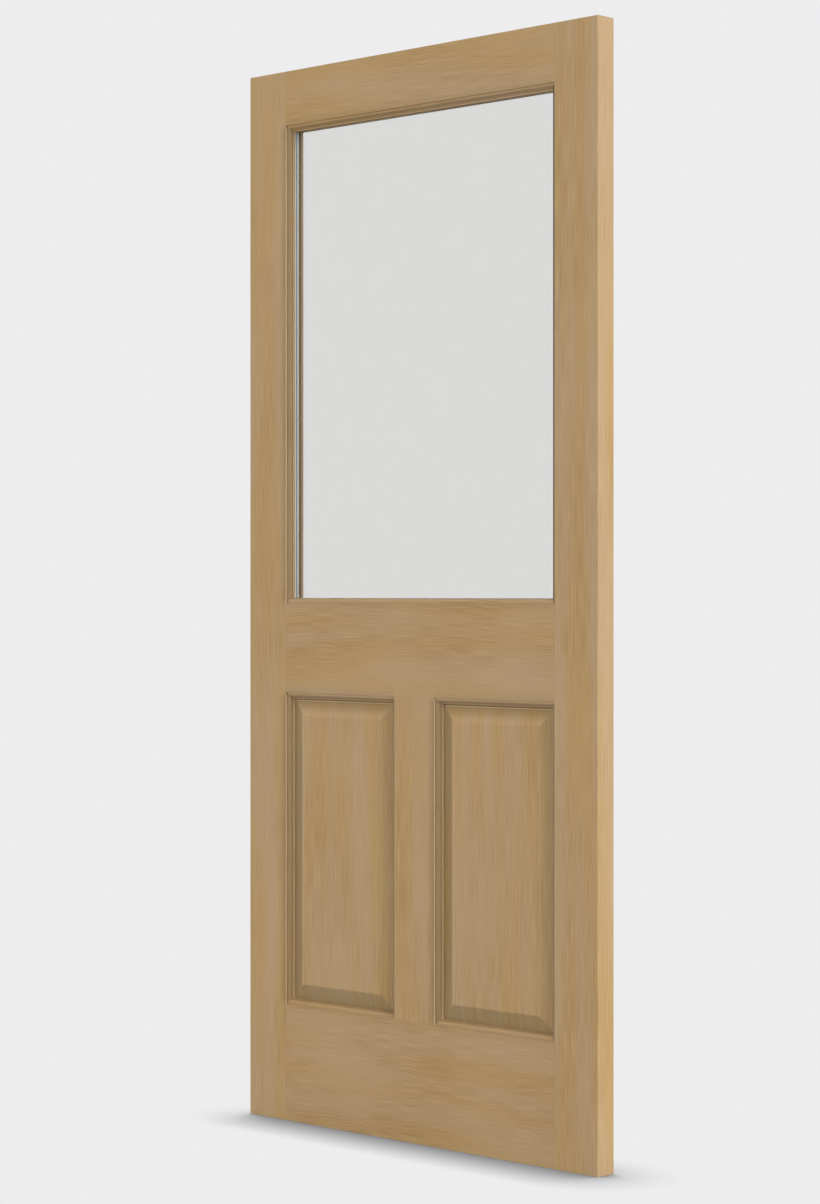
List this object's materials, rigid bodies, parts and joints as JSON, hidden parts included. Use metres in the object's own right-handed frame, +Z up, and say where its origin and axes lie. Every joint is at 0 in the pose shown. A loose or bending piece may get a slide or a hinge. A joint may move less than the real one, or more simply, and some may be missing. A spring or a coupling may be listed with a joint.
{
  "type": "half-glazed panel door leaf",
  "caption": "Timber door leaf with a large double-glazed light over raised panels, ovolo mouldings worked on both faces and loose beads behind the glass.",
  "frame": {"origin": "centre of the bottom edge, midway through the width and the thickness", "axes": "+X along the width to the lock edge, +Y from the front face to the back face, +Z up"},
  "size_m": [0.9143, 0.0444, 2.032],
  "materials": {
    "stile_wood": "clear satin, straight grain",
    "rail_wood": "clear satin, straight grain",
    "panel_wood": "clear satin, straight grain",
    "bead_wood": "clear satin, straight grain",
    "dowel_wood": "bare, fluted",
    "glass": "clear polished",
    "spacer_metal": "mill, satin",
    "seal": "matt",
    "tape": "matt",
    "block": "matt",
    "pin_steel": "bright"
  },
  "bodies": {
    "root": {"hinge_stile": "stile_wood", "lock_stile": "stile_wood", "top_rail": "rail_wood", "lock_rail": "rail_wood", "bottom_rail": "rail_wood", "mullion": "stile_wood", "left_panel": "panel_wood", "right_panel": "panel_wood", "top_rail_dowels": "dowel_wood", "lock_rail_dowels": "dowel_wood", "bottom_rail_dowels": "dowel_wood", "mullion_dowels": "dowel_wood", "front_pane": "glass", "rear_pane": "glass", "spacer_bar": "spacer_metal", "edge_seal": "seal", "front_glazing_tape": "tape", "rear_glazing_tape": "tape", "setting_blocks": "block", "hinge_side_bead": "bead_wood", "lock_side_bead": "bead_wood", "top_bead": "bead_wood", "bottom_bead": "bead_wood", "bead_pins": "pin_steel"}
  },
  "joints": []
}
